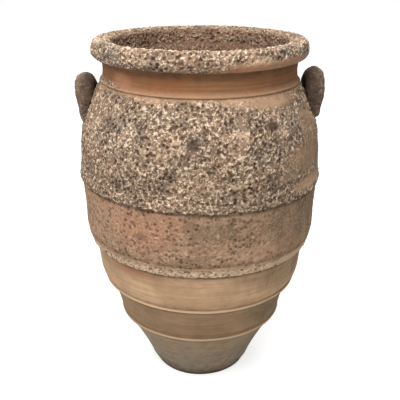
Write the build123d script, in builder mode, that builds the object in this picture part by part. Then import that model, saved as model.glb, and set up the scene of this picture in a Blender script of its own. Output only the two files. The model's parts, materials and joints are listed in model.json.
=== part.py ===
"""Greek storage jar (pithos): a floor disc, five clay courses, a neck and a rolled rim, the raised cordons
that cover the seams between the courses, and two ear handles luted to the shoulder.

Millimetres, +Z up. The origin is the middle of the underside, and the handles stand at -X and +X."""
import os
from math import atan2, cos, degrees, radians, sin

from build123d import *

# Heights of the stacked pieces, from the underside up
floor_thickness = 28.0
foot_course_height = 179.0
lower_course_height = 125.0
middle_course_height = 144.0
upper_course_height = 201.0
shoulder_course_height = 256.0
neck_height = 63.0
rim_height = 54.0

# Outer radius of the underside, of the jar at each seam, and of the neck at its waist
underside_radius = 145.0
floor_seam_radius = 162.0
foot_seam_radius = 252.0
lower_seam_radius = 297.0
middle_seam_radius = 334.0
upper_seam_radius = 350.0
neck_seam_radius = 284.0
neck_waist_radius = 277.0
rim_seam_radius = 281.0

# Thickness of the wall, and the tongue on each course that keys into a groove in the next one
wall = 30.0
tongue_width = 10.0
tongue_height = 7.0
underside_rounding = 9.0

# How far each course swells off the straight line between its seams
foot_course_swell = 5.5
lower_course_swell = 6.3
middle_course_swell = 7.0
upper_course_swell = 9.6
shoulder_course_swell = 26.4

# Outer curve of each course: shares of its height, and of its swell
foot_course_shares = ((0.37, -0.98), (0.68, -0.82))
lower_course_shares = ((0.26, -0.43), (0.50, -1.00), (0.72, -0.71))
middle_course_shares = ((0.09, 0.95), (0.27, 1.00), (0.50, 0.21), (0.75, -0.26))
upper_course_shares = ((0.12, 1.00), (0.30, 0.84), (0.52, 0.53), (0.75, 0.42))
shoulder_course_shares = ((0.11, 0.33), (0.46, 0.95), (0.58, 1.00), (0.77, 0.67), (0.90, 0.40))

# Neck: height of its waist, how it leans in at its foot and out at its top, and the bead at its foot
neck_waist_share = 0.6
neck_foot_lean = 22.8
neck_top_lean = 17.3
neck_bead_radius = 3.5

# Rolled rim: radius of its crest, how far it rolls out and in from there, and where its edges lie
rim_crest_radius = 291.0
rim_outer_roll = 15.5
rim_inner_roll = 39.0
rim_underside_roll = 25.5
rim_full_drop = 32.0
mouth_edge_drop = 15.0
quarter_curve_share = 0.5523
mouth_side_share = 1 / 3

# Raised cordons over the seams: width up the wall, how far they stand out, and their edge rounding
foot_cordon_width = 13.0
foot_cordon_relief = 3.5
lower_cordon_width = 14.0
lower_cordon_relief = 3.5
middle_cordon_width = 38.0
middle_cordon_relief = 4.5
upper_cordon_width = 50.0
upper_cordon_relief = 7.0
cordon_edge_rounding = 1.5

# Ear handles: a thick rope of clay bent to an arch that stands across the shoulder. The gap is the one
# under the crown, the foot share is of the height from the upper seam to the crown, and the foot inset is
# how deep the rope's middle meets the wall
handle_thickness = 53.0
handle_spread = 106.0
left_handle_crown_height = 951.0
left_handle_gap = 17.8
left_handle_foot_share = 0.4124
left_handle_foot_inset = 30.0
right_handle_crown_height = 967.0
right_handle_gap = 18.5
right_handle_foot_share = 0.5138
right_handle_foot_inset = 12.9

# Seams as (outer radius, height), and the rim's edges the same way
floor_seam = (floor_seam_radius, floor_thickness)
foot_seam = (foot_seam_radius, floor_seam[1] + foot_course_height)
lower_seam = (lower_seam_radius, foot_seam[1] + lower_course_height)
middle_seam = (middle_seam_radius, lower_seam[1] + middle_course_height)
upper_seam = (upper_seam_radius, middle_seam[1] + upper_course_height)
neck_seam = (neck_seam_radius, upper_seam[1] + shoulder_course_height)
neck_waist = (neck_waist_radius, neck_seam[1] + neck_height * neck_waist_share)
rim_seam = (rim_seam_radius, neck_seam[1] + neck_height)
rim_top = rim_seam[1] + rim_height
rim_full = (rim_crest_radius + rim_outer_roll, rim_top - rim_full_drop)
mouth_edge = (rim_crest_radius - rim_inner_roll, rim_top - mouth_edge_drop)


def side_points(lower, upper, swell, shares):
    """Points up the outside of a course, off the straight line from its lower seam to its upper one."""
    step = upper[0] - lower[0]
    rise = upper[1] - lower[1]
    between = [(lower[0] + step * up + swell * out, lower[1] + rise * up) for up, out in shares]
    return [lower, *between, upper]


def joint_points(seam):
    """The keyed joint at a seam, from the outside of the wall to the inside."""
    radius, height = seam
    shoulder_width = (wall - tongue_width) / 2
    outer_shoulder = radius - shoulder_width
    inner_shoulder = outer_shoulder - tongue_width
    return [
        seam,
        (outer_shoulder, height),
        (outer_shoulder, height + tongue_height),
        (inner_shoulder, height + tongue_height),
        (inner_shoulder, height),
        (radius - wall, height),
    ]


def finish(piece, name):
    """Label a finished piece and write it."""
    piece.part.label = name
    export_step(piece.part, f"parts/{name}.step")


def neck_side(inset):
    """The waisted side of the neck, moved in from its outside."""
    return Spline(
        (neck_seam[0] - inset, neck_seam[1]),
        (neck_waist[0] - inset, neck_waist[1]),
        (rim_seam[0] - inset, rim_seam[1]),
        tangents=[
            (-sin(radians(neck_foot_lean)), cos(radians(neck_foot_lean))),
            (sin(radians(neck_top_lean)), cos(radians(neck_top_lean))),
        ],
    )


# Outer sides of the courses, which stand on each other
course_sides = {
    "foot_course": side_points(floor_seam, foot_seam, foot_course_swell, foot_course_shares),
    "lower_course": side_points(foot_seam, lower_seam, lower_course_swell, lower_course_shares),
    "middle_course": side_points(lower_seam, middle_seam, middle_course_swell, middle_course_shares),
    "upper_course": side_points(middle_seam, upper_seam, upper_course_swell, upper_course_shares),
    "shoulder_course": side_points(
        upper_seam, neck_seam, shoulder_course_swell, shoulder_course_shares
    ),
}

os.makedirs("parts", exist_ok=True)

# Floor disc, with the tongue that the first course stands on
with BuildPart() as base_disc:
    with BuildSketch(Plane.XZ) as disc_section:
        with BuildLine():
            Line((0, 0), (underside_radius, 0))
            Line((underside_radius, 0), floor_seam)
            Polyline(*joint_points(floor_seam))
            Polyline((floor_seam_radius - wall, floor_thickness), (0, floor_thickness), (0, 0))
        make_face()
        underside_corner = disc_section.vertices().group_by(Axis.Y)[0].sort_by(Axis.X)[-1]
        fillet(underside_corner, underside_rounding)
    revolve(axis=Axis.Z)
finish(base_disc, "base_disc")


def build_course(name, lower, upper):
    """One ring of wall between two seams, grooved below and tongued above."""
    outer_side = course_sides[name]
    inner_side = [(radius - wall, height) for radius, height in outer_side]
    with BuildPart() as course:
        with BuildSketch(Plane.XZ):
            with BuildLine():
                Spline(*outer_side)
                Polyline(*joint_points(upper))
                Spline(*inner_side)
                Polyline(*joint_points(lower))
            make_face()
        revolve(axis=Axis.Z)
    finish(course, name)


build_course("foot_course", floor_seam, foot_seam)
build_course("lower_course", foot_seam, lower_seam)
build_course("middle_course", lower_seam, middle_seam)
build_course("upper_course", middle_seam, upper_seam)
build_course("shoulder_course", upper_seam, neck_seam)

# Neck, waisted between the shoulder and the rim, with a bead at its foot
with BuildPart() as neck:
    with BuildSketch(Plane.XZ) as neck_section:
        with BuildLine():
            neck_side(0)
            Polyline(*joint_points(rim_seam))
            neck_side(wall)
            Polyline(*joint_points(neck_seam))
        make_face()
        with Locations((neck_seam[0], neck_seam[1] + neck_bead_radius)):
            Circle(neck_bead_radius)
    revolve(axis=Axis.Z)
finish(neck, "neck")

# Rolled rim, which overhangs the neck all round
underside_rise = rim_full[1] - rim_seam[1]
mouth_side_rise = mouth_edge[1] - rim_seam[1]
with BuildPart() as rim:
    with BuildSketch(Plane.XZ):
        with BuildLine():
            Bezier(
                rim_seam,
                (rim_seam[0] + rim_underside_roll * quarter_curve_share, rim_seam[1]),
                (rim_full[0], rim_full[1] - underside_rise * quarter_curve_share),
                rim_full,
            )
            EllipticalCenterArc(
                (rim_crest_radius, rim_full[1]), rim_outer_roll, rim_full_drop, start_angle=0
            )
            EllipticalCenterArc(
                (rim_crest_radius, mouth_edge[1]), rim_inner_roll, mouth_edge_drop, start_angle=90
            )
            Bezier(
                mouth_edge,
                (mouth_edge[0], mouth_edge[1] - mouth_side_rise * mouth_side_share),
                (rim_seam[0] - wall, rim_seam[1] + mouth_side_rise * mouth_side_share),
                (rim_seam[0] - wall, rim_seam[1]),
            )
            Polyline(*joint_points(rim_seam))
        make_face()
    revolve(axis=Axis.Z)
finish(rim, "rim")

# The jar's filled outline, which shapes the backs of what is luted to the wall
with BuildPart() as filled_body:
    with BuildSketch(Plane.XZ):
        with BuildLine():
            Polyline((0, rim_seam[1]), (0, 0), (underside_radius, 0), floor_seam)
            for side in course_sides.values():
                Spline(*side)
            neck_side(0)
            Line(rim_seam, (0, rim_seam[1]))
        make_face()
    revolve(axis=Axis.Z)


def build_cordon(name, seam, below, above, width, relief):
    """A flat raised band over a seam, leaning with the wall between the points below and above it."""
    lean = degrees(atan2(above[0] - below[0], above[1] - below[1]))
    with BuildPart() as cordon:
        with BuildSketch(Plane.XZ):
            with Locations(seam):
                RectangleRounded(2 * relief, width, cordon_edge_rounding, rotation=-lean)
        revolve(axis=Axis.Z)
        add(filled_body.part, mode=Mode.SUBTRACT)
    finish(cordon, name)


def build_cordon_between(name, lower_course, upper_course, width, relief):
    """A cordon over the seam where one course stands on another."""
    lower_side = course_sides[lower_course]
    upper_side = course_sides[upper_course]
    build_cordon(name, upper_side[0], lower_side[-2], upper_side[1], width, relief)


build_cordon_between(
    "foot_cordon", "foot_course", "lower_course", foot_cordon_width, foot_cordon_relief
)
build_cordon_between(
    "lower_cordon", "lower_course", "middle_course", lower_cordon_width, lower_cordon_relief
)
build_cordon_between(
    "middle_cordon", "middle_course", "upper_course", middle_cordon_width, middle_cordon_relief
)
build_cordon_between(
    "upper_cordon", "upper_course", "shoulder_course", upper_cordon_width, upper_cordon_relief
)


def outline_radius(height):
    """Radius of the jar's outside at a height, on straight lines between the points of its outline."""
    outline = [point for side in course_sides.values() for point in side[:-1]] + [neck_seam, rim_full]
    for (lower_radius, lower_height), (upper_radius, upper_height) in zip(outline, outline[1:]):
        if height <= upper_height:
            share = (height - lower_height) / (upper_height - lower_height)
            return lower_radius + (upper_radius - lower_radius) * share
    return rim_full[0]


def build_handle(name, side, crown_height, gap, foot_share, foot_inset):
    """An arch of clay rope across the shoulder; side is -1 at -X and 1 at +X."""
    half_thickness = handle_thickness / 2
    half_spread = handle_spread / 2
    foot_height = upper_seam[1] + (crown_height - upper_seam[1]) * foot_share
    foot_reach = outline_radius(foot_height) - foot_inset
    crown_middle = crown_height - half_thickness
    crown_reach = outline_radius(crown_middle) + gap + half_thickness
    lean = atan2(crown_reach - foot_reach, crown_middle - foot_height)
    arch_height = (crown_middle - foot_height) / cos(lean)
    leg = arch_height - half_spread
    arch_plane = Plane(
        origin=(side * foot_reach, 0, foot_height),
        x_dir=(0, 1, 0),
        z_dir=(cos(lean), 0, -side * sin(lean)),
    )
    with BuildPart() as handle:
        with BuildLine(arch_plane) as arch:
            Line((-half_spread, 0), (-half_spread, leg))
            ThreePointArc((-half_spread, leg), (0, arch_height), (half_spread, leg))
            Line((half_spread, leg), (half_spread, 0))
        with BuildSketch(Plane(origin=arch.line @ 0, z_dir=arch.line % 0)):
            Circle(half_thickness)
        sweep(path=arch.line)
        add(filled_body.part, mode=Mode.SUBTRACT)
    finish(handle, name)


build_handle(
    "left_handle",
    -1,
    left_handle_crown_height,
    left_handle_gap,
    left_handle_foot_share,
    left_handle_foot_inset,
)
build_handle(
    "right_handle",
    1,
    right_handle_crown_height,
    right_handle_gap,
    right_handle_foot_share,
    right_handle_foot_inset,
)
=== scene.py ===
import json
from math import atan2, cos, pi, radians, sin, sqrt, tan
from typing import NamedTuple

import bpy
import numpy as np
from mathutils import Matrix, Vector
from mathutils.bvhtree import BVHTree

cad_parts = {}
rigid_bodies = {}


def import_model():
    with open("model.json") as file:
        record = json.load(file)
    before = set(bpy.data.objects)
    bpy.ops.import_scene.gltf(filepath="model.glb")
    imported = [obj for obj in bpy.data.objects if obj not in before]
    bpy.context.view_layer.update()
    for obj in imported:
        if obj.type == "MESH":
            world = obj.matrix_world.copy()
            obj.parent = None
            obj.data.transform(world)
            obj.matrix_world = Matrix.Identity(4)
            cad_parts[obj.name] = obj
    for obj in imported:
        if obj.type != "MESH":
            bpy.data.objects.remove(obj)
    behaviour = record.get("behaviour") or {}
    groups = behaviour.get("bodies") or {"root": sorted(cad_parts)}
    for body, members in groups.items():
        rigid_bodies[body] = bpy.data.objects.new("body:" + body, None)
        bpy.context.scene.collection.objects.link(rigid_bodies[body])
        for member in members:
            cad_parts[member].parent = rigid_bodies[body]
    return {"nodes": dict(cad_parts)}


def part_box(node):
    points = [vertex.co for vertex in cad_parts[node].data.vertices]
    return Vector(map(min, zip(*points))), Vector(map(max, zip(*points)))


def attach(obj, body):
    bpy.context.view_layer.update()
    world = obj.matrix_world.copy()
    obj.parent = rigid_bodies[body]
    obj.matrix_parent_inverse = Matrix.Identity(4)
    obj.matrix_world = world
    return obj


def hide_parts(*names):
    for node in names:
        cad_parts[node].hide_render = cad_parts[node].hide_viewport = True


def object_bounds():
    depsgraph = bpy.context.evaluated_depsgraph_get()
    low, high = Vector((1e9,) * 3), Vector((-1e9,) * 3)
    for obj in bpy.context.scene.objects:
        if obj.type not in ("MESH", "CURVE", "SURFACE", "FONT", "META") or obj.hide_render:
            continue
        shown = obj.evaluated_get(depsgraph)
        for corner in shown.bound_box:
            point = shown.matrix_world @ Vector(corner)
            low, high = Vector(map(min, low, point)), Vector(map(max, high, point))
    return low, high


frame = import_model()
CAD_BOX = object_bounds()
CAD_FACES = {
    name: BVHTree.FromPolygons([v.co for v in node.data.vertices], [f.vertices for f in node.data.polygons])
    for name, node in frame["nodes"].items()
}

bl_info = {
    "name": "Banded Storage Jar",
    "version": (1, 0, 0),
    "blender": (4, 5, 0),
    "location": "3D View > Sidebar > Storage Jar",
    "description": "Builds a tall banded clay storage jar, its weathered surface and a plain studio",
    "category": "Add Mesh",
}

# Sides of a turned ring, times that its faces are split, and a gap too small to see
RING_SIDES = 190
SUBDIVISIONS = 2
HAIR = 0.00001

# Turn above which an edge stays sharp in the shading
SHARP_TURN = radians(60)

# The pieces that stand on one another from the ground up, and the height of the seam under each
STACK = (
    "base_disc", "foot_course", "lower_course", "middle_course",
    "upper_course", "shoulder_course", "neck", "rim",
)
SEAMS = {name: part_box(name)[0].z for name in STACK[1:]}
JAR_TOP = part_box("rim")[1].z
CORDONS = ("foot_cordon", "lower_cordon", "middle_cordon", "upper_cordon")


def number(title, text, default, **kind):
    """A number that a user can change."""
    return bpy.props.FloatProperty(name=title, description=text, default=default, **kind)


def length(title, text, default):
    """A length that a user can change, in metres."""
    return number(title, text, default, subtype="DISTANCE", unit="LENGTH")


def tint(title, text, red, green, blue):
    """A colour that a user can change, given as a screen's 0 to 255."""
    screen = [part / 255 for part in (red, green, blue)]
    light = [part / 12.92 if part <= 0.04045 else ((part + 0.055) / 1.055) ** 2.4 for part in screen]
    return bpy.props.FloatVectorProperty(
        name=title, description=text, default=light, subtype="COLOR", size=3, min=0, max=1
    )


class JarSizes(bpy.types.PropertyGroup):
    """Sizes of the jar's worn and hand-made surface. The jar's own size comes from the frame."""

    crusted_row: length("Crusted row", "Height of a row of faces on crusted clay", 0.012)
    smooth_row: length("Smooth row", "Height of a row of faces on smooth clay", 0.016)
    inner_row: length("Inner row", "Height of a row of faces inside the jar", 0.030)
    wobble: length("Wobble", "From the wall's furthest stray inwards to its furthest outwards", 0.006)
    wobble_size: length("Wobble size", "Distance from one swelling of the wall to the next", 0.22)
    grain_depth: length("Grain depth", "Depth of the crust's rough grain", 0.0045)
    grain_size: length("Grain size", "Width of a lump of the crust's grain", 0.006)
    chip_depth: length("Chip height", "How far a chip of lime stands proud", 0.0024)
    chip_size: length("Chip size", "Width of a chip of lime", 0.009)
    pit_depth: length("Pit depth", "Depth of the pits", 0.0026)
    pit_spacing: length("Pit spacing", "Distance from one pit to the next", 0.0125)
    ridge_depth: length("Ridge depth", "Depth of the lines that turning left", 0.0012)
    ridge_size: length("Ridge size", "Height of a turned line", 0.0075)
    cordon_sink: length("Cordon sink", "How deep a cordon's back lies in the wall", 0.006)
    rope_thickness: length("Rope thickness", "Thickness of a handle's rope of clay", 0.053)
    rope_lump: length("Rope lump", "How uneven a handle's rope is", 0.008)
    band_tilt: length("Band tilt", "How much higher the bands run at the left", 0.008)


class JarColours(bpy.types.PropertyGroup):
    """Colours of the clay and of what has grown and settled on it."""

    clay: tint("Clay", "Bare fired clay", 188, 152, 117)
    clay_pale: tint("Pale clay", "Bare fired clay where it is palest", 210, 174, 137)
    clay_dark: tint("Dark clay", "Damp or stained clay", 104, 80, 58)
    clay_pink: tint("Pink clay", "Clay flushed pink in firing", 190, 132, 102)
    neck_orange: tint("Neck orange", "Deep orange clay of the neck", 144, 91, 57)
    neck_tan: tint("Neck tan", "Paler clay of the neck", 152, 105, 70)
    upper_tan: tint("Upper tan", "Tan clay of the upper course", 194, 156, 124)
    upper_brown: tint("Upper brown", "Browner clay of the upper course", 170, 136, 106)
    lower_tan: tint("Lower tan", "Tan clay of the lower course", 164, 134, 103)
    lower_brown: tint("Lower brown", "Browner clay of the lower course", 150, 121, 91)
    olive: tint("Olive film", "Thin film of algae", 104, 89, 64)
    foot_grey: tint("Grey foot", "Clay greyed by the ground", 154, 137, 116)
    foot_tan: tint("Tan foot", "Foot clay where it is less grey", 162, 140, 113)
    crust: tint("Crust", "Lime crust", 121, 102, 84)
    crust_warm: tint("Warm crust", "Lime crust stained by the clay", 150, 119, 95)
    crust_grey: tint("Grey crust", "Weathered lime crust", 84, 76, 66)
    cream: tint("Cream chips", "Bright chips of lime", 224, 200, 174)
    # Also painted as shade on the handles' inner sides, through their dark mask
    pit: tint("Pits", "Dark growth in the pits", 70, 50, 39)
    lichen: tint("Lichen", "Blue-grey lichen", 112, 112, 106)
    handle_brown: tint("Handle brown", "Dark growth on the handles", 84, 67, 55)
    handle_grey: tint("Handle grey", "Greyed clay of the handles", 107, 91, 76)
    handle_crust: tint("Handle crust", "Lime crust of the handles", 102, 87, 73)
    # Pale clay of worn band edges, also laid as a painted highlight on the cordons' crests
    worn_and_highlight: tint("Worn edges", "Clay worn pale on the edges of the bands", 222, 190, 156)
    # Painted shade: darkens the hollows beside the bands, the neck under the rim and the handles' inner
    # sides, and the clay towards the ground
    shade_and_dirt: tint("Dirt", "Dirt in the hollows", 66, 51, 41)
    inner_brown: tint("Inner brown", "Stained clay inside the jar", 112, 80, 62)
    floor: tint("Floor", "Studio floor", 204, 204, 202)


class StudioSettings(bpy.types.PropertyGroup):
    """Camera and lights."""

    camera_distance: length("Camera distance", "From the jar's axis to the camera, level", 1.785)
    camera_height: length("Camera height", "Height of the camera above the floor", 1.268)
    camera_pitch: number("Camera pitch", "Angle that the camera looks down", radians(21.864), subtype="ANGLE")
    lens: number("Lens", "Focal length in millimetres", 55.3, subtype="DISTANCE_CAMERA")
    key_power: number("Key light", "Power of the large soft light overhead", 104.0, unit="POWER")
    fill_power: number("Fill light", "Power of the light from the front left", 20.0, unit="POWER")
    back_power: number("Back light", "Power of the light behind the jar", 42.0, unit="POWER")
    sky_strength: number("Sky", "Strength of the even light", 0.26)


def select_only(piece):
    """Deselect everything else and make the piece active."""
    bpy.ops.object.select_all(action="DESELECT")
    piece.select_set(True)
    bpy.context.view_layer.objects.active = piece


def switch_mode(mode):
    """Go to editing the active piece's points, or back."""
    bpy.ops.object.mode_set(mode=mode)


def face_met(node, start, direction):
    """Where a straight line from a point first meets a CAD piece."""
    place = CAD_FACES[node].ray_cast(Vector(start), Vector(direction))[0]
    if place is None:
        raise RuntimeError(f"no face of {node} on the line from {start}")
    return place


def wall_radius(node, height, from_inside=False):
    """Radius of a CAD piece's outer or inner face at a height, in the jar's +X direction."""
    start, direction = (0, 1) if from_inside else (CAD_BOX[1][0] * 2, -1)
    return face_met(node, (start, HAIR, height), (direction, 0, 0)).x


def top_height(node, radius):
    """Height of a CAD piece's upper face at a radius."""
    return face_met(node, (radius, HAIR, JAR_TOP * 2), (0, 0, -1)).z


def seam_above(node):
    """Height of the seam at the top of a stacked piece."""
    return SEAMS[STACK[STACK.index(node) + 1]]


def outline_radius(height):
    """Outer radius of the jar's stacked pieces at a height."""
    for node in reversed(STACK):
        if height >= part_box(node)[0].z:
            return wall_radius(node, height)
    raise RuntimeError("a height below the jar")


def wall_rows(node, low, high, row, from_inside=False):
    """(radius, height) of each row up a wall, just clear of the seams at its ends."""
    rows = max(2, round((high - low) / row))
    heights = [low + (high - low) * i / rows for i in range(rows + 1)]
    heights[0] += HAIR
    heights[-1] -= HAIR
    return [(wall_radius(node, height, from_inside), height) for height in heights]


def start_circle(node, sides, radius, place, fill="NOTHING"):
    """A level circle that a node's piece is drawn from, selected and open for editing."""
    bpy.ops.object.select_all(action="DESELECT")
    bpy.ops.mesh.primitive_circle_add(vertices=sides, radius=radius, location=place, fill_type=fill)
    piece = bpy.context.object
    piece.name = node + "_clay"
    bpy.ops.object.transform_apply(location=True, rotation=False, scale=False)
    switch_mode("EDIT")
    bpy.ops.mesh.select_all(action="SELECT")
    return piece


def draw_ring(shift, factor, centre=(0, 0, 0), extrude=bpy.ops.mesh.extrude_edges_move):
    """Draw a new ring out of the selected one, and widen or narrow it about a centre."""
    extrude(TRANSFORM_OT_translate={"value": shift})
    bpy.ops.transform.resize(value=(factor, factor, 1), center_override=centre)


def draw_rows(outline, **how):
    """Draw the selected circle out row by row along an outline of (radius, height) that starts at it."""
    for (radius, height), (new_radius, new_height) in zip(outline, outline[1:]):
        draw_ring((0, 0, new_height - height), new_radius / radius, **how)


def select_open_edges():
    """Select the edges that have a face on one side only."""
    bpy.ops.mesh.select_all(action="DESELECT")
    bpy.ops.mesh.select_non_manifold(
        extend=False, use_wire=False, use_boundary=True, use_multi_face=False, use_non_contiguous=False
    )


def close_mesh(join=0):
    """Join points closer together than a distance, if one is given, and turn all faces outwards."""
    bpy.ops.mesh.select_all(action="SELECT")
    if join:
        bpy.ops.mesh.remove_doubles(threshold=join)
    bpy.ops.mesh.normals_make_consistent(inside=False)


def turn_ring(node, outline, corners=()):
    """A node's piece as a closed ring, drawn row by row along an outline of (radius, height)."""
    radius, height = outline[0]
    piece = start_circle(node, RING_SIDES, radius, (0, 0, height))
    draw_rows(outline)
    select_open_edges()
    bpy.ops.mesh.bridge_edge_loops()
    close_mesh()
    switch_mode("OBJECT")
    if corners:
        crease_rings(piece, corners)
    subdivide(piece, SUBDIVISIONS)
    return piece


def crease_rings(piece, corners):
    """Keep the rings at these (radius, height) corners sharp through subdivision."""
    near = 0.0002

    def together(one, other):
        return all(abs(a - b) < near for a, b in zip(one, other))

    select_only(piece)
    switch_mode("EDIT")
    bpy.ops.mesh.select_all(action="DESELECT")
    switch_mode("OBJECT")
    places = [(sqrt(v.co.x ** 2 + v.co.y ** 2), v.co.z) for v in piece.data.vertices]
    at_corner = [any(together(place, corner) for corner in corners) for place in places]
    for edge in piece.data.edges:
        first, second = edge.vertices
        edge.select = together(places[first], places[second]) and at_corner[first] and at_corner[second]
    switch_mode("EDIT")
    bpy.ops.mesh.select_mode(type="EDGE")
    bpy.ops.transform.edge_crease(value=1)
    bpy.ops.mesh.select_mode(type="VERT")
    switch_mode("OBJECT")


def apply_modifier(piece, kind, **settings):
    """Add a modifier with these settings and apply it."""
    modifier = piece.modifiers.new(kind.title(), kind)
    for key, value in settings.items():
        setattr(modifier, key, value)
    select_only(piece)
    bpy.ops.object.modifier_apply(modifier=modifier.name)


def subdivide(piece, levels, kind="CATMULL_CLARK"):
    """Split each face in four, this many times over."""
    apply_modifier(piece, "SUBSURF", levels=levels, render_levels=levels, subdivision_type=kind)


def places_of(piece, what="co"):
    """The piece's points as an array, or their normals when asked for "normal"."""
    flat = np.zeros(len(piece.data.vertices) * 3, np.float32)
    piece.data.vertices.foreach_get(what, flat)
    return flat.reshape(-1, 3).astype(float)


def radii_of(places):
    """How far each point is from the jar's axis."""
    return np.hypot(places[:, 0], places[:, 1])


def angles_of(places):
    """How far round from the front each point is, in degrees, positive to the right."""
    return np.degrees(np.arctan2(places[:, 0], -places[:, 1]))


def set_attribute(piece, name, values):
    """Store one number for each point of the piece."""
    attribute = piece.data.attributes.get(name) or piece.data.attributes.new(name, "FLOAT", "POINT")
    attribute.data.foreach_set("value", np.asarray(values, np.float32))


def smooth_step(values, low, high):
    """Nought below low, one above high, and a smooth rise between."""
    share = np.clip((values - low) / (high - low), 0, 1)
    return share * share * (3 - 2 * share)


def smooth_fall(values, low, high):
    """One below low, nought above high, and a smooth fall between."""
    return 1 - smooth_step(values, low, high)


def weigh(piece, name, values):
    """A vertex group in 32 steps of weight, for a modifier to follow."""
    group = piece.vertex_groups.get(name) or piece.vertex_groups.new(name=name)
    steps = 32
    levels = np.clip(np.rint(values * steps), 0, steps).astype(int)
    for level in range(1, steps + 1):
        members = np.flatnonzero(levels == level)
        if len(members):
            group.add(members.tolist(), level / steps, "REPLACE")
    return name


# Patches on the wall: angle in degrees from the front, positive to the right, height in thousandths of
# the jar, half width in degrees, half height in thousandths, and strength
PATCHES = {
    "flush": (
        (-28, 560, 22, 75, 0.78), (-46, 610, 14, 60, 0.5), (-38, 420, 20, 24, 1),
        (-16, 590, 14, 50, 0.5), (-47, 915, 11, 30, 0.8), (-44, 880, 16, 20, 0.5),
        (24, 957, 22, 14, 0.9), (52, 965, 16, 16, 0.6), (8, 690, 16, 12, 0.5),
        (150, 560, 34, 80, 0.9), (-130, 420, 30, 30, 0.8), (96, 410, 26, 25, 0.6),
        (-100, 960, 30, 16, 0.8), (170, 925, 30, 20, 0.5),
    ),
    "olive": (
        (66, 740, 20, 110, 0.8), (48, 700, 26, 30, 0.9), (52, 560, 36, 95, 1),
        (10, 570, 12, 45, 0.8), (52, 410, 40, 70, 1), (52, 270, 40, 80, 1),
        (56, 120, 40, 80, 0.6), (-26, 928, 16, 18, 0.35), (-34, 420, 22, 34, 0.35),
        (0, 765, 12, 30, 0.4), (-110, 620, 30, 120, 0.7), (170, 300, 40, 90, 0.6),
    ),
    "dark": (
        (-3, 791, 4.5, 26, 1), (-8, 806, 2, 7, 0.7), (35, 821, 5.2, 17, 1),
        (26, 768, 5, 10, 0.4), (33, 700, 6, 16, 0.4), (-13, 712, 6, 16, 0.4),
        (-27, 540, 5, 16, 0.5), (-46, 815, 6, 16, 0.4), (44, 990, 3, 8, 0.9),
        (-24, 962, 6, 10, 0.5), (-52, 975, 7, 18, 0.5), (66, 985, 7, 14, 0.5),
        (-6, 972, 9, 14, 0.35), (0, 0, 400, 26, 0.7), (120, 780, 8, 20, 0.8),
        (-150, 730, 10, 24, 0.6), (165, 975, 9, 18, 0.6),
    ),
    "lichen": (
        (-42, 800, 26, 70, 0.4), (0, 70, 400, 70, 0.45), (-20, 845, 20, 30, 0.35),
        (60, 850, 16, 20, 0.4), (-3, 793, 7, 26, 1), (-40, 815, 10, 22, 0.6),
        (46, 820, 14, 50, 0.5), (28, 755, 12, 26, 0.5), (-14, 735, 12, 26, 0.4),
        (-48, 975, 16, 40, 0.7), (44, 990, 7, 16, 0.9), (70, 978, 14, 26, 0.7),
        (-20, 968, 12, 16, 0.5), (130, 760, 16, 40, 0.7), (-160, 800, 14, 30, 0.7),
        (150, 980, 22, 30, 0.6),
    ),
    "pale": (
        (20, 806, 8, 16, 0.5), (-9, 787, 5, 20, 0.5), (14, 690, 12, 10, 0.6),
        (-24, 765, 8, 16, 0.3), (-30, 972, 14, 14, 0.4), (30, 975, 10, 10, 0.5),
        (140, 800, 14, 30, 0.5), (-120, 770, 12, 26, 0.5),
    ),
    "clean": (
        (40, 872, 26, 18, 0.9), (20, 880, 16, 12, 0.6), (64, 760, 16, 130, 0.6),
        (58, 725, 22, 52, 0.85), (44, 690, 14, 18, 0.6), (40, 495, 32, 50, 0.45),
        (54, 452, 24, 22, 0.95), (62, 655, 22, 24, 0.9), (-26, 878, 14, 8, 0.5),
        (-120, 870, 26, 18, 0.8), (160, 740, 22, 50, 0.5),
    ),
    "neck crust": (
        (-66, 888, 28, 26, 0.95), (78, 886, 22, 16, 0.7), (-165, 888, 40, 22, 0.7),
    ),
}


def patches_at(places, kind):
    """How strongly each point lies in any of the patches of a kind."""
    angles = angles_of(places)
    heights = places[:, 2] / JAR_TOP * 1000
    total = np.zeros(len(places))
    for angle, height, half_width, half_height, strength in PATCHES[kind]:
        turn = (angles - angle + 180) % 360 - 180
        far = np.sqrt((turn / half_width) ** 2 + ((heights - height) / half_height) ** 2)
        total = np.maximum(total, strength * smooth_fall(far, 0.35, 1.0))
    return total


def shade_and_dirt_at(places):
    """How much painted shade lies in the hollows beside each band and at the neck's foot, and how much darker
    the clay grows towards the ground.
    """
    heights = places[:, 2]
    # Darker towards the ground
    total = 0.95 * smooth_fall(heights, 0.0, 0.060)
    # Painted shade in the crease at the neck's foot and in the hollows under and over each band
    hollows = [(SEAMS["neck"] - 0.0015, 0.35, 0.0, 0.003)]
    for node in CORDONS:
        low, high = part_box(node)
        hollows.append((low.z - 0.003, 0.85, 0.001, 0.009))
        hollows.append((high.z + 0.005, 0.35, 0.001, 0.008))
    for middle, strength, full_within, none_beyond in hollows:
        depth = smooth_fall(np.abs(heights - middle), full_within, none_beyond)
        total = np.maximum(total, strength * depth)
    return total


def paint(piece, crust, outside, worn_and_highlight=0.0, shade_and_dirt=0.0):
    """Write what the clay's materials read, each a number from nought to one at every point."""
    places = places_of(piece)
    for name in ("flush", "olive", "dark", "lichen", "pale"):
        set_attribute(piece, name, patches_at(places, name) * outside)
    set_attribute(piece, "crust", crust)
    # Pale wear on the bands' crests and the neck's foot, partly a painted highlight
    set_attribute(piece, "worn_and_highlight", outside * worn_and_highlight)
    # Painted shade in the hollows, under the rim and on the handles' inner sides, and darker towards the
    # ground
    set_attribute(piece, "shade_and_dirt", np.maximum(shade_and_dirt_at(places), shade_and_dirt) * outside)
    set_attribute(piece, "inside", 1 - outside)


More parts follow.
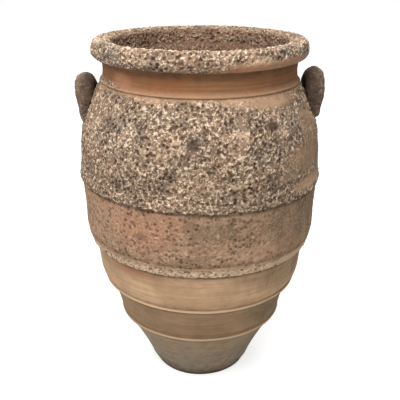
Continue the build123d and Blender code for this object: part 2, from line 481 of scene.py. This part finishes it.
def cloud_texture(name, size, depth):
    """Soft lumps of a size, with as many finer layers on them as the depth says."""
    texture = bpy.data.textures.new(name, "CLOUDS")
    texture.noise_scale = size
    texture.noise_depth = depth
    texture.noise_basis = "IMPROVED_PERLIN"
    return texture


def spots_of(texture, low, high):
    """Make a texture nought below one level and one above another; swapped levels turn it over."""
    texture.use_color_ramp = True
    start, end = texture.color_ramp.elements
    start.position, end.position = min(low, high), max(low, high)
    start.color = (0, 0, 0, 1) if low < high else (1, 1, 1, 1)
    end.color = (1, 1, 1, 1) if low < high else (0, 0, 0, 1)
    return texture


def cell_texture(name, size):
    """Scattered points, with a value that grows with the distance from the nearest one."""
    texture = bpy.data.textures.new(name, "VORONOI")
    texture.noise_scale = size
    texture.distance_metric = "DISTANCE"
    return texture


def displace(piece, texture, strength, group="", middle=0.5, squash=None, direction="NORMAL"):
    """Move the surface in and out by a texture, as far as the group's weights let it."""
    settings = {"texture": texture, "strength": strength, "mid_level": middle, "direction": direction}
    if not squash:
        apply_modifier(piece, "DISPLACE", texture_coords="LOCAL", vertex_group=group, **settings)
        return
    bpy.ops.object.select_all(action="DESELECT")
    bpy.ops.object.empty_add(location=(0, 0, 0))
    guide = bpy.context.object
    guide.scale = squash
    bpy.context.view_layer.update()
    settings.update(texture_coords="OBJECT", texture_coords_object=guide, vertex_group=group)
    apply_modifier(piece, "DISPLACE", **settings)
    bpy.data.objects.remove(guide)


def displace_and_keep(piece, name, texture, strength, weights):
    """Raise or sink spots of the surface and keep where they are under this name."""
    before = places_of(piece)
    displace(piece, texture, strength, weigh(piece, name + " weight", weights), middle=0)
    moved = np.linalg.norm(places_of(piece) - before, axis=1)
    set_attribute(piece, name, moved / abs(strength))


def rough_surface(piece, sizes, crust, pitting, lines):
    """Roughen crusted clay, raise chips of lime on it, sink pits, and draw turned lines in bare clay."""
    grain = cloud_texture("crust grain", sizes.grain_size, 3)
    displace(piece, grain, sizes.grain_depth, weigh(piece, "crusted", crust))
    chips = spots_of(cloud_texture("lime chips", sizes.chip_size, 2), low=0.55, high=0.66)
    displace_and_keep(piece, "chips", chips, sizes.chip_depth, crust)
    pits = spots_of(cell_texture("pits", sizes.pit_spacing), low=0.46, high=0.24)
    displace_and_keep(piece, "pits", pits, -sizes.pit_depth, pitting)
    ridges = cloud_texture("turned ridges", sizes.ridge_size, 1)
    displace(piece, ridges, sizes.ridge_depth, weigh(piece, "turned", lines), squash=(30, 30, 1))


def fade_from_seams(places, low, high, width):
    """Nought at a piece's seams and one away from them."""
    heights = places[:, 2]
    return smooth_step(heights, low, low + width) * smooth_fall(heights, high - width, high)


def finish_piece(piece, node, look):
    """Shade a piece, give it its material, hang it on the root body and hide the CAD part that it stands for.
    """
    select_only(piece)
    bpy.ops.object.shade_smooth_by_angle(angle=SHARP_TURN)
    piece.vertex_groups.clear()
    piece.data.materials.clear()
    piece.data.materials.append(material_named(look))
    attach(piece, "root")
    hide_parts(node)


class NodeSheet:
    """Short ways to add nodes to a tree and join them."""

    def __init__(self, tree):
        self.tree = tree

    def add(self, kind, settings=None, *values, **inputs):
        """A node with these settings. Values feed its first sockets, and inputs the ones that they name."""
        node = self.tree.nodes.new(kind)
        for key, value in (settings or {}).items():
            setattr(node, key, value)
        for socket, value in zip(node.inputs, values):
            self.feed(socket, value)
        for key, value in inputs.items():
            self.feed(node.inputs[key.replace("_", " ")], value)
        return node

    def feed(self, socket, value):
        """Link a socket to another one, or set it to a constant."""
        if isinstance(value, bpy.types.NodeSocket):
            self.tree.links.new(value, socket)
        else:
            socket.default_value = value

    def math(self, operation, *values):
        return self.add("ShaderNodeMath", {"operation": operation}, *values).outputs[0]

    def vector_math(self, operation, *values):
        return self.add("ShaderNodeVectorMath", {"operation": operation}, *values).outputs[0]

    def mix(self, share, first, second):
        node = self.add("ShaderNodeMix", {"data_type": "RGBA"}, share)
        self.feed(node.inputs[6], first)
        self.feed(node.inputs[7], second)
        return node.outputs[2]

    def step(self, value, low, high):
        smooth = {"interpolation_type": "SMOOTHSTEP"}
        return self.add("ShaderNodeMapRange", smooth, value, low, high).outputs[0]

    def noise(self, vector, scale, detail, roughness):
        node = self.add("ShaderNodeTexNoise", Vector=vector, Scale=scale, Detail=detail, Roughness=roughness)
        return node.outputs[0]

    def cells(self, vector, scale):
        node = self.add("ShaderNodeTexVoronoi", Vector=vector, Scale=scale)
        return node.outputs["Distance"], node.outputs["Color"]

    def attribute(self, name):
        return self.add("ShaderNodeAttribute", {"attribute_name": name}).outputs["Fac"]

    def group(self, name, **inputs):
        return self.add("ShaderNodeGroup", {"node_tree": bpy.data.node_groups[name]}, **inputs).outputs

    def background_rays(self):
        """One on rays that come straight from the camera or by way of a glossy or a clear surface."""
        path = self.add("ShaderNodeLightPath").outputs
        indirect = self.math("MAXIMUM", path["Is Glossy Ray"], path["Is Transmission Ray"])
        return self.math("MAXIMUM", path["Is Camera Ray"], indirect)


def empty_sheet(owner):
    """The node sheet of a material or a world, with nothing on it."""
    owner.use_nodes = True
    owner.node_tree.nodes.clear()
    return NodeSheet(owner.node_tree)


def new_group(name, numbers, results):
    """A node group that reads a place and numbers, each with its default, and gives these results."""
    tree = bpy.data.node_groups.new(name, "ShaderNodeTree")
    tree.interface.new_socket(name="Vector", in_out="INPUT", socket_type="NodeSocketVector")
    for title, default in numbers.items():
        socket = tree.interface.new_socket(name=title, in_out="INPUT", socket_type="NodeSocketFloat")
        socket.default_value = default
    for title in results:
        tree.interface.new_socket(name=title, in_out="OUTPUT", socket_type="NodeSocketFloat")
    sheet = NodeSheet(tree)
    return sheet, sheet.add("NodeGroupInput").outputs


def lime_crust_group():
    """Where light and dark specks lie in a lime crust, how its tone drifts, and its fine height."""
    results = ("Chips", "Pits", "Light", "Dark", "Warm", "Grey", "Height")
    sheet, given = new_group("lime crust", {"Chips": 0.0, "Pits": 0.0}, results)
    place = given["Vector"]
    ragged = sheet.math("MULTIPLY_ADD", sheet.noise(place, 300.0, 2.0, 0.6), 0.6, -0.30)
    chips = sheet.step(sheet.math("ADD", given["Chips"], ragged), 0.20, 0.60)
    pits = sheet.step(sheet.math("ADD", given["Pits"], ragged), 0.15, 0.65)
    distance, shade = sheet.cells(place, 175.0)
    grains = sheet.step(distance, 0.62, 0.30)

    def areas(offset, scale, detail, roughness, low, high):
        """Where a noise of its own rises above a level."""
        moved = sheet.vector_math("ADD", place, offset)
        return sheet.step(sheet.noise(moved, scale, detail, roughness), low, high)

    def with_grains(specks, low, high):
        """Specks together with the round grains whose shade lies beyond a level."""
        chosen = sheet.math("MULTIPLY", grains, sheet.step(shade, low, high))
        return sheet.math("MAXIMUM", chosen, specks)

    light = with_grains(areas((3.1, 1.7, 0.4), 112.0, 3.0, 0.7, 0.54, 0.64), 0.55, 0.61)
    dark = with_grains(areas((0.7, 4.3, 2.9), 96.0, 3.0, 0.7, 0.53, 0.63), 0.45, 0.39)
    warm = areas((5.3, 0.2, 1.1), 12.0, 4.0, 0.70, 0.44, 0.60)
    grey = areas((2.3, 7.2, 0.1), 17.0, 4.0, 0.75, 0.46, 0.62)
    raised = sheet.math("MULTIPLY_ADD", light, 0.6, chips)
    height = sheet.math("SUBTRACT", raised, sheet.math("MULTIPLY_ADD", dark, 0.7, pits))
    values = (chips, pits, light, dark, warm, grey, height)
    sheet.add("NodeGroupOutput", **dict(zip(results, values)))


def turned_lines_group():
    """Fine level lines that turning left in the clay."""
    sheet, given = new_group("turned lines", {"Height of a line": 0.005}, ("Lines", "Height"))
    upright = sheet.math("DIVIDE", 1.0, given["Height of a line"])
    squash = sheet.add("ShaderNodeCombineXYZ", X=5.0, Y=5.0, Z=upright).outputs[0]
    lines = sheet.noise(sheet.vector_math("MULTIPLY", given["Vector"], squash), 1.0, 3.0, 0.6)
    sheet.add("NodeGroupOutput", Lines=sheet.step(lines, 0.38, 0.66), Height=lines)


def clay_tones_group():
    """Slow changes of tone over the clay, and its fine grain."""
    sheet, given = new_group("clay tones", {}, ("Broad", "Mottle", "Streaks", "Grain"))
    place = given["Vector"]
    broad = sheet.noise(place, 7.0, 3.0, 0.6)
    mottle = sheet.noise(sheet.vector_math("MULTIPLY", place, (1.0, 1.0, 1.6)), 38.0, 4.0, 0.65)
    streaks = sheet.noise(sheet.vector_math("MULTIPLY", place, (26.0, 26.0, 6.0)), 1.0, 3.0, 0.6)
    sheet.add(
        "NodeGroupOutput",
        Broad=sheet.step(broad, 0.34, 0.66),
        Mottle=sheet.step(mottle, 0.40, 0.68),
        Streaks=sheet.step(streaks, 0.42, 0.66),
        Grain=sheet.noise(place, 420.0, 3.0, 0.7),
    )


def colour_of(name):
    """One of the scene's named colours, with full opacity."""
    return (*getattr(bpy.context.scene.jar_colours, name), 1.0)


class ClayLook(NamedTuple):
    """How one kind of clay looks: its two colours, its crust's colour, and how strong its marks are."""

    clay: str
    second: str
    crust: str
    lines: float
    line_height: float
    mottle: float
    streaks: float


LOOKS = {
    "foot clay": ClayLook("foot_grey", "foot_tan", "crust", 0.30, 0.007, 0.25, 0.15),
    "lower clay": ClayLook("lower_tan", "lower_brown", "crust", 0.40, 0.006, 0.15, 0.10),
    "middle clay": ClayLook("clay", "clay_pale", "crust", 0.30, 0.006, 0.15, 0.10),
    "upper clay": ClayLook("upper_tan", "upper_brown", "crust_warm", 0.15, 0.006, 0.45, 0.35),
    "neck clay": ClayLook("neck_orange", "neck_tan", "crust", 0.55, 0.005, 0.28, 0.15),
    "crusted clay": ClayLook("clay", "upper_tan", "crust", 0.10, 0.006, 0.40, 0.15),
    "handle clay": ClayLook("handle_brown", "handle_grey", "handle_crust", 0.0, 0.006, 0.60, 0.0),
}


def clay_material(name):
    """Matt fired clay: two tones, turned lines, flushes, films, and a lime crust where the piece has one."""
    look = LOOKS[name]
    material = bpy.data.materials.new(name)
    sheet = empty_sheet(material)
    place = sheet.add("ShaderNodeTexCoord").outputs["Object"]
    tones = sheet.group("clay tones", Vector=place)
    lines = sheet.group("turned lines", Vector=place, Height_of_a_line=look.line_height)
    spots = {kind.title(): sheet.attribute(kind) for kind in ("chips", "pits")}
    lime = sheet.group("lime crust", Vector=place, **spots)
    crust = sheet.attribute("crust")

    def layer(colour, over, *shares):
        """Lay one colour over another, as strongly as the shares multiplied together."""
        share = shares[0]
        for factor in shares[1:]:
            share = sheet.math("MULTIPLY", share, factor)
        return sheet.mix(share, colour, colour_of(over) if isinstance(over, str) else over)

    def uneven(mask, least):
        """A mask that never falls below a share."""
        return sheet.math("MULTIPLY_ADD", mask, 1 - least, least)

    colour = sheet.mix(tones["Broad"], colour_of(look.clay), colour_of(look.second))
    colour = layer(colour, "clay_dark", tones["Mottle"], look.mottle)
    colour = layer(colour, "clay_dark", tones["Streaks"], look.streaks)
    colour = layer(colour, "clay_pink", sheet.attribute("flush"), uneven(tones["Broad"], 0.6))
    colour = layer(colour, "olive", sheet.attribute("olive"), uneven(tones["Streaks"], 0.5), 0.8)
    colour = layer(colour, "clay_dark", lines["Lines"], uneven(tones["Broad"], 0.5), look.lines)

    film = layer(colour_of(look.crust), "crust_warm", lime["Warm"], 0.7)
    film = layer(film, "crust_grey", lime["Grey"], 0.7)
    colour = layer(colour, film, crust, 0.8)
    colour = layer(colour, "lichen", sheet.attribute("lichen"), uneven(tones["Mottle"], 0.3))
    in_grey = sheet.math("MULTIPLY_ADD", lime["Grey"], -0.65, 1.0)
    in_warm = sheet.math("MULTIPLY_ADD", lime["Warm"], -0.65, 1.0)
    colour = layer(colour, "worn_and_highlight", sheet.attribute("pale"), uneven(tones["Grain"], 0.5))
    # Pale wear on the cordons' crests and the neck's bead, partly a painted highlight where the crests catch
    # the light
    colour = layer(colour, "worn_and_highlight", sheet.attribute("worn_and_highlight"), uneven(tones["Grain"], 0.4))
    colour = layer(colour, "cream", lime["Light"], crust, in_grey, 0.70)
    colour = layer(colour, "pit", lime["Dark"], crust, in_warm, 0.74)
    colour = layer(colour, "cream", lime["Chips"], in_grey, 0.80)
    colour = layer(colour, "pit", lime["Pits"], uneven(lime["Grey"], 0.55), uneven(crust, 0.65))
    # Dark spots of growth on the wall; on the handles this mask is painted shade on their inner sides
    colour = layer(colour, "pit", sheet.attribute("dark"), uneven(lime["Dark"], 0.85))
    # Painted shade: darkens the hollows by the bands, the neck under the rim and the handles' inner sides,
    # and the clay towards the ground
    colour = layer(colour, "shade_and_dirt", sheet.attribute("shade_and_dirt"), uneven(tones["Mottle"], 0.5))
    colour = layer(colour, "inner_brown", sheet.attribute("inside"), 0.5)

    height = sheet.math("MULTIPLY", lime["Height"], crust)
    height = sheet.math("MULTIPLY_ADD", lines["Height"], look.lines, height)
    height = sheet.math("MULTIPLY_ADD", tones["Grain"], 0.25, height)
    bump = sheet.add("ShaderNodeBump", Strength=0.7, Distance=0.0014, Height=height)
    shader = sheet.add(
        "ShaderNodeBsdfPrincipled",
        Base_Color=colour,
        Roughness=sheet.math("MULTIPLY_ADD", tones["Grain"], 0.15, 0.78),
        Specular_IOR_Level=0.25,
        Normal=bump.outputs[0],
    )
    sheet.add("ShaderNodeOutputMaterial", Surface=shader.outputs[0])
    return material


def material_named(name):
    """One of the clay materials, made when a piece first needs it."""
    if not bpy.data.node_groups.get("clay tones"):
        lime_crust_group()
        turned_lines_group()
        clay_tones_group()
    return bpy.data.materials.get(name) or clay_material(name)


def ring_between(node, outside, inside):
    """A ring of clay between two faces given from below, with sharp corners at its joints."""
    corners = (outside[0], outside[-1], inside[0], inside[-1])
    return turn_ring(node, outside + inside[::-1], corners)


def outside_mask(piece, node):
    """One on the outer face of a ring and nought on its inner face."""
    skin = 0.012
    places = places_of(piece)
    samples = np.linspace(SEAMS[node] + HAIR, seam_above(node) - HAIR, 60)
    outer = np.array([wall_radius(node, height) for height in samples])
    return (radii_of(places) > np.interp(places[:, 2], samples, outer) - skin).astype(float)


class JAR_OT_base(bpy.types.Operator):
    """Build the floor disc of the jar"""

    bl_idname = "jar.base"
    bl_label = "Base disc"

    def execute(self, context):
        ground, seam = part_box("base_disc")[0].z, SEAMS["foot_course"]
        rounding = 0.009
        flat = wall_radius("base_disc", ground + rounding) - rounding
        side = wall_radius("base_disc", seam - HAIR)
        piece = start_circle("base_disc", RING_SIDES, flat, (0, 0, ground), "NGON")
        turns = [radians(turn) for turn in (0, 30, 60, 90)]
        edge = [(flat + rounding * sin(turn), ground + rounding * (1 - cos(turn))) for turn in turns]
        draw_rows([*edge, (side, seam)], extrude=bpy.ops.mesh.extrude_region_move)
        bpy.ops.mesh.inset(thickness=side * 0.4, depth=0)
        close_mesh(join=HAIR)
        switch_mode("OBJECT")
        subdivide(piece, 1, "SIMPLE")
        outside = np.ones(len(piece.data.vertices))
        paint(piece, outside * 0, outside)
        finish_piece(piece, "base_disc", "foot clay")
        return {"FINISHED"}


class JAR_OT_courses(bpy.types.Operator):
    """Build the five rings of wall"""

    bl_idname = "jar.courses"
    bl_label = "Courses"

    def execute(self, context):
        sizes = context.scene.jar_sizes
        smooth, crusted = sizes.smooth_row, sizes.crusted_row
        self.course("foot_course", sizes, smooth, "foot_clay", "foot clay", 0.0, 0.04, 0.8)
        self.course("lower_course", sizes, smooth, "bare_clay", "lower clay", 0.0, 0.05, 0.8)
        self.course("middle_course", sizes, smooth, "bare_clay", "middle clay", 0.03, 0.10, 1.0)
        self.course("upper_course", sizes, crusted, "bare_clay", "upper clay", 0.36, 0.85, 0.4)
        self.course("shoulder_course", sizes, crusted, "crusted_clay", "crusted clay", 1.0, 1.0, 0.0)
        return {"FINISHED"}

    def course(self, node, sizes, row, slot, look, crust_share, pit_share, line_share):
        """One ring of wall with its surface."""
        low, high = SEAMS[node], seam_above(node)
        outer_rows = wall_rows(node, low, high, row)
        inner_rows = wall_rows(node, low, high, sizes.inner_row, from_inside=True)
        piece = ring_between(node, outer_rows, inner_rows)
        places = places_of(piece)
        outside = outside_mask(piece, node)
        fade = outside * fade_from_seams(places, low, high, 0.008)
        kept = 1 - 0.85 * patches_at(places, "clean")
        if node == "shoulder_course":
            kept *= 1 - 0.55 * smooth_step(places[:, 2], high - 0.012, high - 0.003)
        crust = crust_share * kept
        pitting = pit_share * kept * (1 - 0.6 * patches_at(places, "olive"))
        rough_surface(piece, sizes, crust * fade, pitting * fade, line_share * fade)
        paint(piece, crust, outside)
        finish_piece(piece, node, look)


class JAR_OT_neck(bpy.types.Operator):
    """Build the waisted neck and the bead at its foot"""

    bl_idname = "jar.neck"
    bl_label = "Neck"

    def execute(self, context):
        sizes = context.scene.jar_sizes
        low, high = SEAMS["neck"], SEAMS["rim"]
        bead_width = 0.007
        bead = [low + bead_width * share + HAIR for share in (0.0, 0.15, 0.35, 0.5, 0.65, 0.85, 1.0)]
        outer_rows = [(wall_radius("neck", height), height) for height in bead]
        outer_rows += wall_rows("neck", low + bead_width + 0.002, high, 0.008)
        inner_rows = wall_rows("neck", low, high, sizes.crusted_row, from_inside=True)
        piece = ring_between("neck", outer_rows, inner_rows)
        outside = outside_mask(piece, "neck")
        places = places_of(piece)
        heights = places[:, 2]
        fade = fade_from_seams(places, low, high, 0.012)
        crust = np.where(outside > 0, patches_at(places, "neck crust"), 0.9)
        pitting = np.where(outside > 0, 0.5 * smooth_fall(heights, low, low + 0.03), 0.9)
        rough_surface(piece, sizes, crust * fade, pitting * fade, outside * fade * 0.7)
        worn_and_highlight = 0.35 * smooth_fall(heights, low + 0.004, low + 0.020)
        # Painted shadow: the neck darkens towards its top, under the rim's overhang
        shade = 0.60 * smooth_step(heights, high - 0.030, high - 0.004)
        paint(piece, crust, outside, worn_and_highlight, shade)
        finish_piece(piece, "neck", "neck clay")
        return {"FINISHED"}


class JAR_OT_rim(bpy.types.Operator):
    """Build the rolled rim"""

    bl_idname = "jar.rim"
    bl_label = "Rim"

    def execute(self, context):
        sizes = context.scene.jar_sizes
        low = SEAMS["rim"]
        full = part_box("rim")[1].x
        levels = np.linspace(low, JAR_TOP, 200)[1:-1]
        widest = max(levels, key=lambda height: wall_radius("rim", height))
        mouth = wall_radius("rim", (low + JAR_TOP) / 2, from_inside=True) + 0.0005
        under = [low + (widest - low) * (1 - cos(turn)) + HAIR for turn in np.linspace(0, pi / 2, 8)]
        outline = [(wall_radius("rim", height), height) for height in under]
        middle, half = (full + mouth) / 2, (full - mouth) / 2
        over = [middle + half * cos(turn) for turn in np.linspace(0, pi, 15)[1:-1]]
        outline += [(radius, top_height("rim", radius)) for radius in over]
        edge = top_height("rim", mouth) - 0.002
        outline += wall_rows("rim", low, edge, 0.008, from_inside=True)[::-1]
        piece = turn_ring("rim", outline, (outline[0], outline[-1]))
        places = places_of(piece)
        reach = radii_of(places)
        bare_angle, bare_within, crusted_beyond = 52, 30, 48
        front = smooth_fall(np.abs(angles_of(places) - bare_angle), bare_within, crusted_beyond)
        lower = smooth_fall(places[:, 2], widest - 0.004, widest + 0.010)
        outer = smooth_step(reach, middle, middle + 0.01)
        crust = 1 - 0.8 * front * lower * outer
        fade = fade_from_seams(places, low, JAR_TOP * 2, 0.006)
        rough_surface(piece, sizes, crust * fade, crust * fade, (1 - crust) * fade * 0.6)
        paint(piece, crust, smooth_step(reach, mouth + 0.002, mouth + 0.016))
        finish_piece(piece, "rim", "crusted clay")
        return {"FINISHED"}


# Sections of the cordons: shares of the width from the bottom, and of how far they stand out
BROAD_BAND = (
    (0.02, 0.45), (0.06, 0.90), (0.16, 1.0), (0.30, 0.98),
    (0.44, 0.78), (0.62, 0.52), (0.80, 0.38), (0.94, 0.2),
)
ROLL = ((0.03, 0.50), (0.09, 0.88), (0.20, 1.0), (0.34, 0.98), (0.52, 0.84), (0.72, 0.56), (0.93, 0.18))


class JAR_OT_cordons(bpy.types.Operator):
    """Build the raised bands over the seams"""

    bl_idname = "jar.cordons"
    bl_label = "Cordons"

    def execute(self, context):
        sizes = context.scene.jar_sizes
        self.cordon("foot_cordon", sizes, ROLL, 1.5, "bare_clay", "lower clay", 0.0, 0.8)
        self.cordon("lower_cordon", sizes, ROLL, 1.7, "bare_clay", "middle clay", 0.0, 0.9)
        self.cordon("middle_cordon", sizes, BROAD_BAND, 1.4, "bare_clay", "upper clay", 0.75, 1.0)
        self.cordon("upper_cordon", sizes, BROAD_BAND, 1.0, "crusted_clay", "crusted clay", 1.0, 0.0)
        return {"FINISHED"}

    def cordon(self, node, sizes, section, fullness, slot, look, crust_share, worn_and_highlight_share):
        """One band, its back sunk a little into the wall."""
        clear = 0.0006
        low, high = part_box(node)[0].z + clear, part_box(node)[1].z - clear
        middle = (low + high) / 2
        relief = (wall_radius(node, middle) - outline_radius(middle)) * fullness
        heights = [low + (high - low) * up for up, _ in section]
        front = [(outline_radius(h) + relief * out, h) for h, (_, out) in zip(heights, section)]
        back = [(outline_radius(h) - sizes.cordon_sink, h) for h in (high, middle, low)]
        foot = [(outline_radius(low) - sizes.cordon_sink / 2, low)]
        piece = turn_ring(node, foot + front + back)
        places = places_of(piece)
        walls = np.interp(places[:, 2], heights, [outline_radius(h) for h in heights])
        depth = radii_of(places) - walls
        proud = smooth_step(depth, -0.001, 0.001)
        crest = smooth_step(depth, relief * 0.05, relief * 0.55)
        lower = smooth_fall(places[:, 2], low + (high - low) * 0.55, high)
        bare = patches_at(places, "clean")
        crust = crust_share * (1 - 0.85 * bare)
        if crust_share < 1:
            crust *= 0.3 + 0.7 * lower
        rough_surface(piece, sizes, crust * proud, crust * proud, proud * 0)
        # The crest of each cordon is laid pale: partly wear, partly a painted highlight
        paint(piece, crust, proud, np.maximum(worn_and_highlight_share, 0.5 * bare) * crest * lower)
        finish_piece(piece, node, look)


class JAR_OT_handles(bpy.types.Operator):
    """Build the two ear handles"""

    bl_idname = "jar.handles"
    bl_label = "Handles"

    def execute(self, context):
        sizes = context.scene.jar_sizes
        self.handle("left_handle", -1, sizes)
        self.handle("right_handle", 1, sizes)
        return {"FINISHED"}

    def leg_reach(self, node, side, spread, height):
        """How far a CAD handle's leg stands out from the jar's axis at a height."""
        return abs(face_met(node, (side * CAD_BOX[1][0] * 2, spread, height), (-side, 0, 0)).x)

    def handle(self, node, side, sizes):
        """A rope of clay drawn up, spun over its crown and drawn down again, then leant against the wall."""
        low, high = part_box(node)
        half = sizes.rope_thickness / 2
        spread = high.y - half
        rise = high.z - half - low.z
        sink = half * 0.28
        mark, gap = 0.2, 0.5
        near_foot, near_crown = (
            self.leg_reach(node, side, spread, low.z + rise * up) - sink * (1 - up)
            for up in (mark, mark + gap)
        )
        lean = atan2(near_crown - near_foot, rise * gap)
        foot_reach = near_foot - rise * mark * tan(lean) - half / cos(lean)
        leg = rise / cos(lean) - spread
        steps = 4
        tip_height, tip_share, foot_share = 0.014, 0.62, 0.92
        swell = (1 / foot_share) ** (1 / steps)
        step_up = (leg - tip_height) / steps
        tuck = side * half * 0.35
        piece = start_circle(node, 16, half * foot_share * tip_share, (-tuck, -spread, 0))
        draw_ring((tuck, 0, tip_height), 1 / tip_share, (0, -spread, 0))
        for _ in range(steps):
            draw_ring((0, 0, step_up), swell, (0, -spread, 0))
        bpy.ops.mesh.spin(steps=12, angle=pi, center=(0, 0, leg), axis=(1, 0, 0))
        for _ in range(steps):
            draw_ring((0, 0, -step_up), 1 / swell, (0, spread, 0))
        draw_ring((-tuck, 0, -tip_height), tip_share, (-tuck, spread, 0))
        select_open_edges()
        bpy.ops.mesh.fill_holes(sides=0)
        close_mesh(join=0.0001)
        bpy.ops.transform.rotate(value=-side * lean, orient_axis="Y", center_override=(0, 0, 0))
        bpy.ops.transform.translate(value=(side * foot_reach, 0, low.z))
        switch_mode("OBJECT")
        subdivide(piece, 3)
        displace(piece, cloud_texture("rope lumps", 0.030, 1), sizes.rope_lump)
        whole = np.ones(len(piece.data.vertices))
        normals = places_of(piece, "normal")
        # Painted shade on the handle's inner side: faces turned towards the wall, and to the front and back,
        # get the hollow colour and the pit colour
        towards_wall = smooth_step(0.3 * normals[:, 1] ** 2 - side * normals[:, 0], -0.45, 0.5)
        rough_surface(piece, sizes, whole * 0.25, whole * 0.5, whole * 0)
        paint(piece, whole * 0.45, whole, shade_and_dirt=towards_wall)
        set_attribute(piece, "dark", 0.7 * towards_wall)
        finish_piece(piece, node, "handle clay")


class JAR_OT_settle(bpy.types.Operator):
    """Let the finished jar stray from a true circle and tilt its bands, as hand-built clay does"""

    bl_idname = "jar.settle"
    bl_label = "Settle"

    def execute(self, context):
        sizes = context.scene.jar_sizes
        pieces = [piece for piece in bpy.data.objects if piece.name.endswith("_clay")]
        sway = {
            "X": cloud_texture("sway X", sizes.wobble_size, 0),
            "Y": cloud_texture("sway Y", sizes.wobble_size * 0.8, 0),
        }
        cage = self.cage(sizes.band_tilt)
        for piece in pieces:
            for axis, texture in sway.items():
                displace(piece, texture, sizes.wobble, direction=axis)
            if "handle" not in piece.name:
                apply_modifier(piece, "LATTICE", object=cage)
        bpy.data.objects.remove(cage)
        return {"FINISHED"}

    def cage(self, tilt):
        """A lattice round the whole jar that lifts the left of the bands and lowers the right."""
        low, high = CAD_BOX
        middle = ((low[0] + high[0]) / 2, (low[1] + high[1]) / 2, JAR_TOP / 2)
        bpy.ops.object.select_all(action="DESELECT")
        bpy.ops.object.add(type="LATTICE", location=middle)
        cage = bpy.context.object
        cage.scale = (high[0] - low[0], high[1] - low[1], JAR_TOP)
        lattice = cage.data
        lattice.points_u, lattice.points_v, lattice.points_w = 2, 2, 8
        lattice.interpolation_type_w = "KEY_CATMULL_ROM"
        shares = (0, 0.25, 0.55, 0.85, 1.0, 0.85, 0.4, 0)
        for index, point in enumerate(lattice.points):
            side = -1 if index % 2 == 0 else 1
            point.co_deform.z -= side * tilt * shares[index // 4] / JAR_TOP
        bpy.context.view_layer.update()
        return cage


class JAR_OT_stage(bpy.types.Operator):
    """Set the floor, the lights and the camera"""

    bl_idname = "jar.stage"
    bl_label = "Studio"

    def execute(self, context):
        studio = context.scene.jar_studio
        self.floor()
        self.sky(studio)
        self.lamp("key light", (-0.38, -1.15, 2.9), 2.2, studio.key_power)
        self.lamp("fill light", (-1.0, -3.0, 1.6), 2.0, studio.fill_power)
        self.lamp("back light", (-0.3, 2.7, 2.4), 2.2, studio.back_power)
        self.camera(studio)
        context.scene.view_settings.view_transform = "Standard"
        return {"FINISHED"}

    def floor(self):
        """A plain pale floor that shows white and keeps the jar's shadow."""
        bpy.ops.object.select_all(action="DESELECT")
        bpy.ops.mesh.primitive_plane_add(size=30, location=(0, 0, -0.0005))
        floor = bpy.context.object
        floor.name = "studio_floor"
        material = bpy.data.materials.new("studio floor")
        sheet = empty_sheet(material)
        seen = sheet.background_rays()
        place = sheet.add("ShaderNodeTexCoord").outputs["Object"]
        reach = sheet.add("ShaderNodeVectorMath", {"operation": "LENGTH"}, place).outputs["Value"]
        least_glow, glow_gain = 0.69, 0.18
        glow = sheet.math("MULTIPLY_ADD", sheet.step(reach, 0.8, 3.0), glow_gain, least_glow)
        shader = sheet.add(
            "ShaderNodeBsdfPrincipled",
            Base_Color=colour_of("floor"),
            Roughness=0.9,
            Emission_Color=(1, 1, 1, 1),
            Emission_Strength=sheet.math("MULTIPLY", seen, glow),
        )
        sheet.add("ShaderNodeOutputMaterial", Surface=shader.outputs[0])
        floor.data.materials.append(material)

    def sky(self, studio):
        """An even pale sky, white where the camera sees it."""
        world = bpy.data.worlds.new("studio sky")
        bpy.context.scene.world = world
        sheet = empty_sheet(world)
        seen = sheet.background_rays()
        strength = sheet.math("MULTIPLY_ADD", seen, 1 - studio.sky_strength, studio.sky_strength)
        sky = sheet.add("ShaderNodeBackground", Color=(1, 1, 1, 1), Strength=strength)
        sheet.add("ShaderNodeOutputWorld", Surface=sky.outputs[0])

    def lamp(self, name, place, size, power):
        """A large soft lamp that faces the jar's middle."""
        bpy.ops.object.select_all(action="DESELECT")
        bpy.ops.object.light_add(type="AREA", location=place)
        lamp = bpy.context.object
        lamp.name = name
        lamp.data.size = size
        lamp.data.energy = power
        towards = Vector((0, 0, JAR_TOP / 2)) - Vector(place)
        lamp.rotation_euler = towards.to_track_quat("-Z", "Y").to_euler()

    def camera(self, studio):
        """The camera of the photograph."""
        bpy.ops.object.select_all(action="DESELECT")
        bpy.ops.object.camera_add(
            location=(0, -studio.camera_distance, studio.camera_height),
            rotation=(pi / 2 - studio.camera_pitch, 0, 0),
        )
        camera = bpy.context.object
        camera.name = "camera"
        camera.data.lens = studio.lens
        camera.data.sensor_width = 36
        bpy.context.scene.camera = camera


class JAR_PT_panel(bpy.types.Panel):
    """Lists the steps that build the jar"""

    bl_idname = "JAR_PT_panel"
    bl_label = "Storage Jar"
    bl_space_type = "VIEW_3D"
    bl_region_type = "UI"
    bl_category = "Storage Jar"

    def draw(self, context):
        for step in STEPS:
            self.layout.operator(step.bl_idname)


STEPS = (
    JAR_OT_base, JAR_OT_courses, JAR_OT_neck, JAR_OT_rim,
    JAR_OT_cordons, JAR_OT_handles, JAR_OT_settle, JAR_OT_stage,
)
GROUPS = {"jar_sizes": JarSizes, "jar_colours": JarColours, "jar_studio": StudioSettings}
CLASSES = (*GROUPS.values(), *STEPS, JAR_PT_panel)


def register():
    for entry in CLASSES:
        bpy.utils.register_class(entry)
    for name, group in GROUPS.items():
        setattr(bpy.types.Scene, name, bpy.props.PointerProperty(type=group))


def unregister():
    for name in GROUPS:
        delattr(bpy.types.Scene, name)
    for entry in reversed(CLASSES):
        bpy.utils.unregister_class(entry)


def main():
    register()
    for step in STEPS:
        area, name = step.bl_idname.split(".")
        getattr(getattr(bpy.ops, area), name)()


if __name__ == "__main__":
    main()
